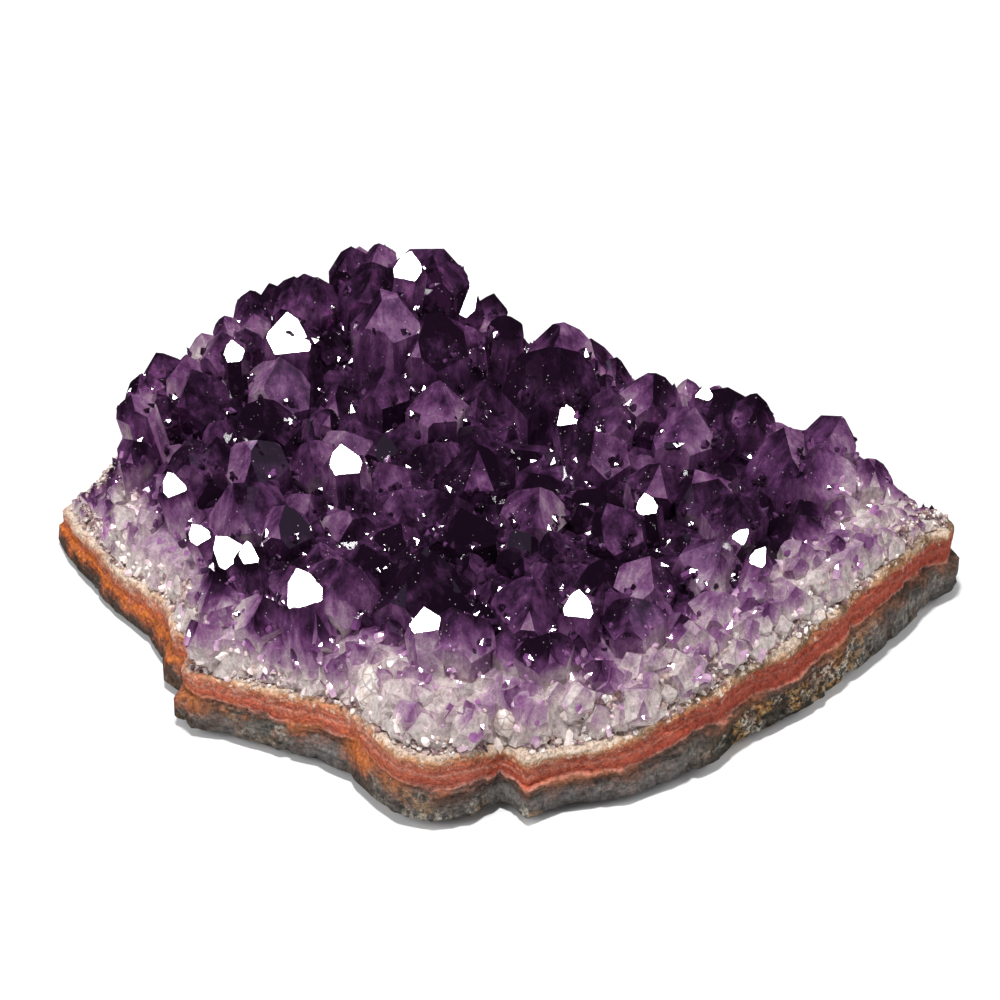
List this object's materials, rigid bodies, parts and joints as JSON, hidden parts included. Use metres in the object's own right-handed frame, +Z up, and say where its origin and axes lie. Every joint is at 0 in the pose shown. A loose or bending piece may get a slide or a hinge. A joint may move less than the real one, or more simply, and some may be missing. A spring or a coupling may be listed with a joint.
{
  "type": "amethyst cluster",
  "caption": "Slab of banded rock carrying one bed of pointed, see-through purple quartz crystals, with a white quartz edge, for display on a table.",
  "frame": {"origin": "under the middle of the object, on the surface it rests on", "axes": "+X to the right along the long side, +Y from the pointed front edge to the high back ridge, +Z up"},
  "size_m": [0.1545, 0.111, 0.0458],
  "materials": {
    "banded_rock": "rough natural rock",
    "amethyst": "glossy natural crystal faces"
  },
  "bodies": {
    "root": {"matrix": "banded_rock", "crystals": "amethyst"}
  },
  "joints": []
}
